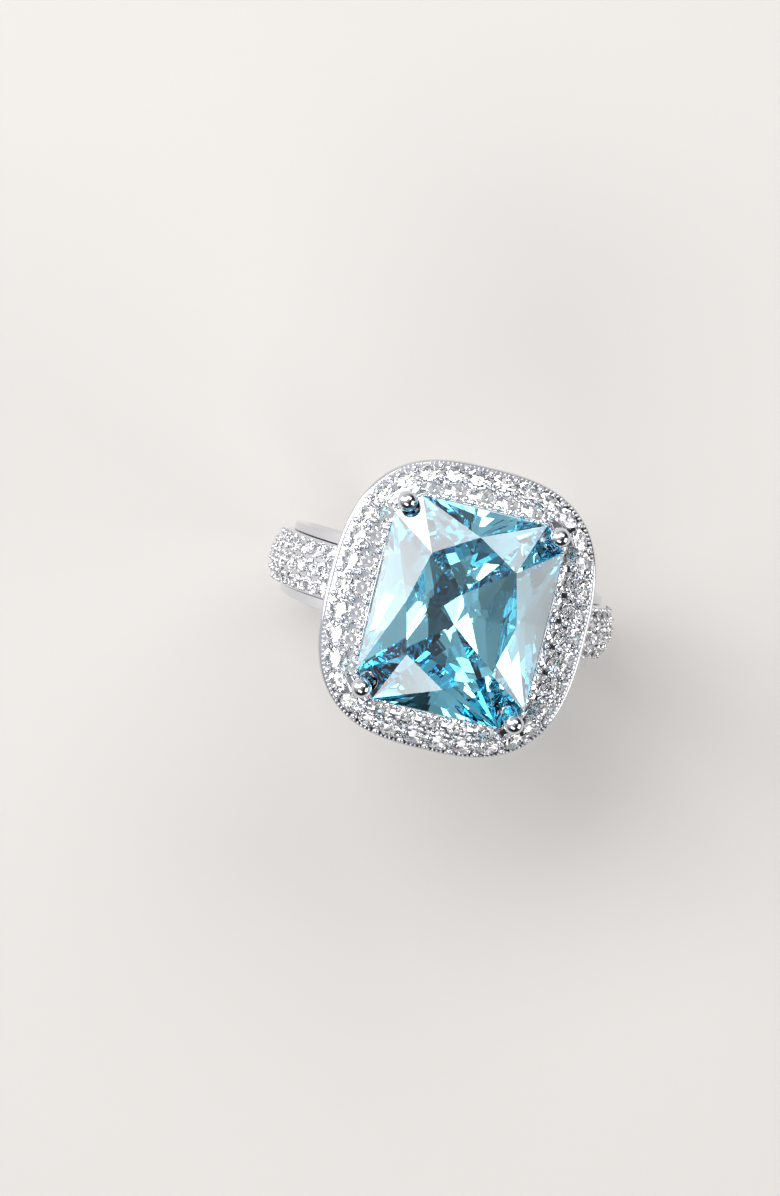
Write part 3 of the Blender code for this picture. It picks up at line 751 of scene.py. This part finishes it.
def halo_section(angle):
    """The domed plate, cut across: distances from the centre, heights and roundings in millimetres."""
    inner = cushion_radius(angle, INNER_ROW)
    outer = cushion_radius(angle, OUTER_ROW)
    lip = stone_radius(angle, 0.03)
    top = GIRDLE_BOTTOM
    back = HALO_LOW.z
    corners = (
        # Inner lip round the big stone
        (lip, top - 0.02, 0.03),
        (lip + 0.1, top - 0.02, 0.05),
        (lip + 0.16, top - 0.22, 0.04),
        # Slope under the two rows of stones
        (max(inner, lip + 0.3), INNER_ROW_HEIGHT - PAVED_DEPTH, 0.1),
        ((inner + outer) / 2, (INNER_ROW_HEIGHT + OUTER_ROW_HEIGHT) / 2, 0.2),
        (outer, OUTER_ROW_HEIGHT - PAVED_DEPTH, 0.2),
        # Outer edge
        (outer + 0.46, OUTER_ROW_HEIGHT - 0.52, 0.1),
        (outer + 0.58, back + 0.12, 0.05),
        (outer + 0.50, back, 0.05),
        # Hollow back
        (outer + 0.02, back + 0.02, 0.08),
        (outer - 0.55, back + 0.35, 0.2),
        (lip, top - 0.85, 0.1),
    )
    return [polar(angle, point.x, point.y) for point in round_corners(corners)]


def circle(middle, across, ahead, radius, sides):
    """Points of a circle round a middle, in the plane of the directions across and ahead."""
    return [
        middle + across * (radius * math.cos(turn)) + ahead * (radius * math.sin(turn))
        for turn in round_angles(sides)
    ]


def ring_wire(name, path, radius, height_of, metal):
    """Round wire along a cushion path, at the height that height_of gives for each point of it."""
    rings = []
    for angle in round_angles(240):
        middle = polar(angle, cushion_radius(angle, path), 0.0)
        middle.z = height_of(middle)
        rings.append(circle(middle, polar(angle, 1.0, 0.0), UP, radius, WIRE_SIDES))
    return loft_object(name, rings, metal, smooth_angle=180.0)


def base_rail_height(middle):
    return math.sqrt(BASE_RAIL_LIE**2 - middle.x**2)


def off_corner(distance, height):
    """A point at a distance outwards from the middle of the stone's cut corner at +X, +Y."""
    step = distance / math.sqrt(2)
    return Vector((HALF_WIDTH - CORNER / 2 + step, HALF_LENGTH - CORNER / 2 + step, height))


def make_claw(name, side_x, side_y, base_path, metal):
    """A round claw from the base rail up past the cut corner, ending in a ball over the crown."""
    knee = off_corner(CLAW_RADIUS + CLAW_GAP, GIRDLE_BOTTOM - CLAW_KNEE_DROP)
    neck = off_corner(CLAW_RADIUS + CLAW_GAP, GIRDLE_TOP)
    ball = off_corner(CLAW_BALL_OUT, GIRDLE_TOP + CLAW_BALL_RISE)
    slant = math.atan2(knee.y, knee.x)
    foot = polar(slant, cushion_radius(slant, base_path), 0.0)
    foot.z = base_rail_height(foot) + CLAW_FOOT_RISE

    # Middles and radii up the leg, round the bend, and over the ball
    leg_steps = 4
    bend_steps = 6
    ball_steps = 12
    bend_start = foot.lerp(knee, CLAW_BEND)
    bend_end = knee.lerp(neck, 0.25)
    spine = []
    for step in range(leg_steps + 1):
        spine.append((foot.lerp(knee, step / leg_steps * CLAW_BEND), CLAW_RADIUS))
    for step in range(1, bend_steps + 1):
        share = step / bend_steps
        middle = bend_start.lerp(knee, share).lerp(knee.lerp(bend_end, share), share)
        spine.append((middle, CLAW_RADIUS))
    lift = math.sqrt(CLAW_BALL**2 - CLAW_RADIUS**2)
    spine.append((bend_end.lerp(ball - UP * lift, 0.6), CLAW_RADIUS))
    start = -math.asin(lift / CLAW_BALL)
    nearly_top = math.pi / 2 * 0.985
    for step in range(ball_steps + 1):
        turn = mix(start, nearly_top, step / ball_steps)
        spine.append((ball + UP * (CLAW_BALL * math.sin(turn)), CLAW_BALL * math.cos(turn)))

    outward = Vector((1, 1, 0)).normalized()
    upright = len(spine) - ball_steps - 2
    rings = []
    for index, (middle, radius) in enumerate(spine):
        before = spine[max(index - 1, 0)][0]
        after = spine[min(index + 1, len(spine) - 1)][0]
        along = (after - before).normalized() if index < upright else UP
        side = along.cross(outward).normalized()
        ring = circle(middle, side.cross(along), side, radius, CLAW_SIDES)
        rings.append([Vector((side_x * point.x, side_y * point.y, point.z)) for point in ring])
    return loft_object(name, rings, metal, closed=False, smooth_angle=50.0)


def make_seat(metal):
    """An open collar under the girdle, its inside sloped to the stone."""
    rings = []
    for angle in round_angles(240):
        outside = stone_radius(angle, -0.03)
        corners = (
            (outside, SEAT_TOP, 0.05),
            (stone_radius(angle, -0.28), SEAT_TOP, 0.05),
            (stone_radius(angle, -0.72), SEAT_FOOT, 0.05),
            (outside, SEAT_FOOT, 0.05),
        )
        rings.append([polar(angle, point.x, point.y) for point in round_corners(corners, 3)])
    return loft_object("stone_seat_collar", rings, metal)


def band_half_width(degrees):
    if degrees < 90:
        return ease(BAND_TOP_HALF, BAND_SIDE_HALF, (degrees - 30) / 60)
    return ease(BAND_SIDE_HALF, BAND_BOTTOM_HALF, (degrees - 90) / 90)


def band_radius(degrees):
    if degrees < SHOULDER_START:
        return ease(BAND_TOP, RAIL, 1 + (degrees - SHOULDER_START) / BAND_RISE_SPAN)
    return ease(RAIL, BAND_BOTTOM, (degrees - SHOULDER_END) / (180 - SHOULDER_END))


def band_section(degrees):
    """Across the band: rounded inside, two polished rails, and a channel or a low dome between them."""
    down = abs(degrees)
    half = band_half_width(down)
    outer = band_radius(down)
    groove = min(SHOULDER_HALF + PAVING_GAP, half - NARROWEST_RAIL)
    paved = SHOULDER_START <= down <= SHOULDER_END
    steps = 10
    side = (
        (half - 0.3, BORE, 0.2),
        (half, BORE + 0.12, 0.15),
        (half, outer - 0.12, 0.12),
        (half - 0.1, outer, 0.05),
        (groove, outer, 0.03),
    )
    middle = []
    for step in range(1, steps):
        turn = math.pi * step / steps
        height = CHANNEL_FLOOR if paved else outer + BAND_DOME * math.sin(turn)
        middle.append((groove * 0.985 * math.cos(turn), height, 0))
    corners = [*side, *middle]
    corners += [(-x, y, radius) for x, y, radius in reversed(side)]
    return [band_point(degrees, point.x, point.y) for point in round_corners(corners)]


def make_band(metal):
    rings = [band_section(degrees) for degrees in (*range(181), *range(-179, 0))]
    return loft_object("band", rings, metal)


def make_shoulder_plate(side, label, metal):
    """The domed strip between the rails, with a seat cut for every stone."""
    steps = 24
    foot = CHANNEL_FLOOR + 0.04
    corners = [(SHOULDER_HALF, foot, 0.0)]
    for step in range(steps + 1):
        across = mix(SHOULDER_HALF, -SHOULDER_HALF, step / steps)
        corners.append((across, shoulder_top(across), 0.04 if step in (0, steps) else 0))
    corners.append((-SHOULDER_HALF, foot, 0.0))
    outline = round_corners(corners, 3)
    stations = 90
    rings = []
    for index in range(stations + 1):
        down = mix(SHOULDER_START + SHOULDER_TRIM, SHOULDER_END - SHOULDER_TRIM, index / stations)
        rings.append([band_point(side * down, point.x, point.y) for point in outline])
    plate = loft_object(f"paved_shoulder_{label}", rings, metal, closed=False)
    seats = []
    for row in SHOULDER_ROWS:
        for column in range(SHOULDER_COLUMNS):
            along = (column - (SHOULDER_COLUMNS - 1) / 2) * SHOULDER_PITCH
            seats.append(shoulder_place(side, row, along))
    cut_away(plate, seat_cutter(seats, SHOULDER_STONE * SEAT_SHARE, SHOULDER_SEAT_DEPTH))
    return plate


# Camera, floor and light -----------------------------------------------------------------------------

# Distances in millimetres; the camera's lean to each side and its roll in degrees
CAMERA_DISTANCE = 300.0
CAMERA_SIDE = 5.6
CAMERA_FRONT = 3.6
CAMERA_ROLL = 13.9
FRAME_LONG_SIDE = 68.7
SENSOR = 36.0
STONE_RIGHT_OF_MIDDLE = 4.0
STONE_BELOW_MIDDLE = 0.8
FLOOR_REACH = 700.0
FLOOR_GAP = 0.2
# The room: the direction of its bright wall, and the strength of its light away from that wall and at it
BRIGHT_WALL = (-0.75, 0.45, 0.5)
ROOM_DIM = 0.04
ROOM_BRIGHT = 0.75
# Softboxes: name, place, width, height and power in watts, each turned towards one point
LIT_POINT = Vector((0.0, 0.0, 10.0))
SOFTBOXES = (
    ("key_softbox", (-160.0, 130.0, 340.0), 160.0, 160.0, 0.75),
    ("left_softbox", (-330.0, 60.0, 190.0), 220.0, 300.0, 0.8),
    ("right_softbox", (330.0, -40.0, 180.0), 240.0, 220.0, 0.45),
    ("back_softbox", (40.0, 240.0, 300.0), 320.0, 160.0, 0.55),
    ("front_softbox", (-40.0, -240.0, 300.0), 260.0, 120.0, 0.38),
)


def make_camera():
    """Nearly straight down on the stone, turned so that the band runs down to the right."""
    data = bpy.data.cameras.new("camera")
    data.sensor_width = SENSOR
    data.lens = SENSOR * CAMERA_DISTANCE / FRAME_LONG_SIDE
    data.clip_start = 0.01
    camera = bpy.data.objects.new("camera", data)
    bpy.context.scene.collection.objects.link(camera)
    roll = math.radians(CAMERA_ROLL)
    right = Vector((math.cos(roll), math.sin(roll), 0.0))
    ahead = Vector((-math.sin(roll), math.cos(roll), 0.0))
    stone = Vector((0.0, 0.0, GIRDLE_BOTTOM))
    lean = Vector((-math.tan(math.radians(CAMERA_SIDE)), math.tan(math.radians(CAMERA_FRONT)), 1.0))
    place = stone + lean.normalized() * CAMERA_DISTANCE
    aim = stone - right * STONE_RIGHT_OF_MIDDLE + ahead * STONE_BELOW_MIDDLE
    back = (place - aim).normalized()
    side = ahead.cross(back).normalized()
    top = back.cross(side)
    turned = Matrix((side, top, back)).transposed().to_4x4()
    turned.translation = place * MM
    camera.matrix_world = turned
    bpy.context.scene.camera = camera


def add_softbox(name, place, width, height, power):
    data = bpy.data.lights.new(name, "AREA")
    data.shape = "RECTANGLE"
    data.size = width * MM
    data.size_y = height * MM
    data.energy = power
    light = bpy.data.objects.new(name, data)
    light.location = Vector(place) * MM
    light.rotation_euler = (Vector(place) - LIT_POINT).to_track_quat("Z", "Y").to_euler()
    bpy.context.scene.collection.objects.link(light)


def light_studio():
    """Soft studio: a room that is bright on one side and dim on the other, with white softboxes."""
    world = bpy.data.worlds.new("studio")
    world.use_nodes = True
    tree = world.node_tree
    tree.nodes.clear()
    toward = add_node(tree, "ShaderNodeTexCoord")
    facing = add_node(
        tree,
        "ShaderNodeVectorMath",
        {"operation": "DOT_PRODUCT", 1: Vector(BRIGHT_WALL).normalized()},
        {0: toward.outputs["Generated"]},
    )
    glow = add_node(
        tree,
        "ShaderNodeMapRange",
        {
            "interpolation_type": "SMOOTHSTEP",
            "From Min": 0.0,
            "From Max": 0.85,
            "To Min": ROOM_DIM,
            "To Max": ROOM_BRIGHT,
        },
        {"Value": facing.outputs["Value"]},
    )
    sky = add_node(
        tree, "ShaderNodeBackground", {"Color": linear("#eef0f4")}, {"Strength": glow.outputs["Result"]}
    )
    add_node(tree, "ShaderNodeOutputWorld", links={"Surface": sky.outputs["Background"]})
    bpy.context.scene.world = world
    for softbox in SOFTBOXES:
        add_softbox(*softbox)


def make_floor(material):
    shape = bmesh.new()
    bmesh.ops.create_grid(shape, x_segments=1, y_segments=1, size=FLOOR_REACH)
    bmesh.ops.translate(shape, vec=(0.0, 0.0, SHANK_LOW.z - FLOOR_GAP), verts=shape.verts)
    make_object("floor", finish_mesh("floor", shape), material)


# Building ------------------------------------------------------------------------------------------


def settle(thing, slot, *nodes):
    """Put a finished piece on the one body and hide the CAD nodes it stands for. The slot is not used."""
    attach(thing, "root")
    if nodes:
        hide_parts(*nodes)


def nodes_named(start):
    return [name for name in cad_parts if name.startswith(start)]


def build_head(silver):
    """The wires and claws that hold the halo and the stone."""
    rim = ring_wire("halo_rim_wire", RIM_PATH, RIM_RADIUS, lambda middle: RIM_HEIGHT, silver)
    settle(rim, "polished_metal", "halo_rim")
    base_high = cad_box("base_rail")[1]
    base_path = (base_high.x - BASE_RAIL_RADIUS, base_high.y - BASE_RAIL_RADIUS, WIRE_SQUARENESS)
    base = ring_wire("base_rail_wire", base_path, BASE_RAIL_RADIUS, base_rail_height, silver)
    settle(base, "polished_metal", "base_rail")
    low, high = cad_box("gallery_wire")
    path = (high.x - GALLERY_RADIUS, high.y - GALLERY_RADIUS, WIRE_SQUARENESS)
    height = (low.z + high.z) / 2
    gallery = ring_wire("gallery_wire_round", path, GALLERY_RADIUS, lambda middle: height, silver)
    settle(gallery, "polished_metal", "gallery_wire")
    for name, side_x, side_y in (
        ("claw_back_right", 1, 1),
        ("claw_back_left", -1, 1),
        ("claw_front_left", -1, -1),
        ("claw_front_right", 1, -1),
    ):
        claw = make_claw(f"ball_{name}", side_x, side_y, base_path, silver)
        settle(claw, "polished_metal", name)


def build_halo(silver, clear, brilliant, bead, stone_tree, bead_tree):
    """The domed plate with its two rows of stones, the beads beside them and the fine edge."""
    claw = off_corner(CLAW_RADIUS + CLAW_GAP, 0.0)
    claw_clear = HALO_STONE + CLAW_RADIUS
    seats = []
    for point, up in even_places(*INNER_LINE, 0.0):
        if (Vector((abs(point.x), abs(point.y), 0.0)) - claw).length > claw_clear:
            seats.append((point, up))
    seats += even_places(*OUTER_LINE, 0.0)
    plate = loft_object("domed_halo", [halo_section(angle) for angle in round_angles(360)], silver)
    cut_away(plate, seat_cutter(seats, HALO_STONE * SEAT_SHARE, HALO_SEAT_DEPTH))
    settle(plate, "polished_metal", "halo_plate")

    stones = {
        "Shape": brilliant,
        "Size": HALO_STONE,
        "Keep Off": claw * MM,
        "Raise": STONE_RISE * MM,
        "Finish": clear,
    }
    inner = {**stones, "Keep Off Reach": claw_clear * MM, "Count": INNER_PLACES}
    outer = {**stones, "Keep Off Reach": 0.0, "Count": OUTER_PLACES}
    inner_row = grow_rows("inner_halo_stones", [halo_path(INNER_LINE, 0.0)], stone_tree, inner)
    settle(inner_row, "white_stone", *nodes_named("halo_stone_"))
    outer_row = grow_rows("outer_halo_stones", [halo_path(OUTER_LINE, 0.0)], stone_tree, outer)
    settle(outer_row, "white_stone", "halo_outer_stone_row")

    beads = {
        "Shape": bead,
        "Size": HALO_BEAD,
        "Beside": HALO_BEAD_OUT * MM,
        "Raise": HALO_BEAD_RISE * MM,
        "Keep Off": claw * MM,
        "Keep Off Reach": HALO_BEAD_CLEAR * MM,
        "Finish": silver,
    }
    for name, line, count in (
        ("inner_halo_beads", INNER_LINE, INNER_PLACES),
        ("outer_halo_beads", OUTER_LINE, OUTER_PLACES),
    ):
        row = grow_rows(name, [halo_path(line, 0.5)], bead_tree, {**beads, "Count": count})
        settle(row, "polished_metal")
    edge = {"Shape": bead, "Size": EDGE_BEAD, "Count": EDGE_BEADS, "Finish": silver}
    edge_row = grow_rows("halo_edge_milgrain", [halo_path(EDGE_LINE, 0.0)], stone_tree, edge)
    settle(edge_row, "polished_metal")


def build_shoulder(side, label, silver, clear, brilliant, bead, stone_tree, bead_tree):
    """One paved shoulder: the strip, three rows of stones, and beads on both sides of each row."""
    plate = make_shoulder_plate(side, label, silver)
    settle(plate, "polished_metal", f"shoulder_plate_{label}")
    stones = {
        "Shape": brilliant,
        "Size": SHOULDER_STONE,
        "Count": SHOULDER_COLUMNS,
        "Finish": clear,
    }
    rows = grow_rows(f"shoulder_stones_{label}", shoulder_rows(side, 0.0), stone_tree, stones)
    nodes = nodes_named(f"shoulder_stone_{label}") + nodes_named(f"shoulder_stone_row_{label}")
    settle(rows, "white_stone", *nodes)
    beads = {
        "Shape": bead,
        "Size": SHOULDER_BEAD,
        "Beside": SHOULDER_BEAD_OUT * MM,
        "Raise": SHOULDER_BEAD_RISE * MM,
        "Count": SHOULDER_COLUMNS + 1,
        "Finish": silver,
    }
    rows = grow_rows(f"shoulder_beads_{label}", shoulder_rows(side, 0.5), bead_tree, beads)
    settle(rows, "polished_metal")


def main():
    silver = rhodium_plated_silver()
    aqua = cut_zirconia("aqua_cubic_zirconia", "#00e5f8", 88.0)
    clear = cut_zirconia("colourless_cubic_zirconia", "#ffffff", 0.0)

    settle(make_centre_stone(aqua), "blue_stone", "centre_stone")
    settle(make_band(silver), "polished_metal", "shank")
    settle(make_seat(silver), "polished_metal", "stone_seat")
    build_head(silver)

    brilliant = make_object("brilliant", brilliant_mesh("brilliant"))
    bead = make_object("bead", bead_mesh("bead"))
    paving = (brilliant, bead, row_tree("stone_row", (0.0,)), row_tree("bead_rows", (1.0, -1.0)))
    build_halo(silver, clear, *paving)
    build_shoulder(1, "right", silver, clear, *paving)
    build_shoulder(-1, "left", silver, clear, *paving)
    bpy.data.objects.remove(brilliant)
    bpy.data.objects.remove(bead)

    make_floor(studio_paper())
    light_studio()
    make_camera()
    scene = bpy.context.scene
    scene.view_settings.view_transform = "Standard"
    scene.cycles.glossy_bounces = 14
    scene.cycles.transmission_bounces = 16
    scene.cycles.max_bounces = 18


main()
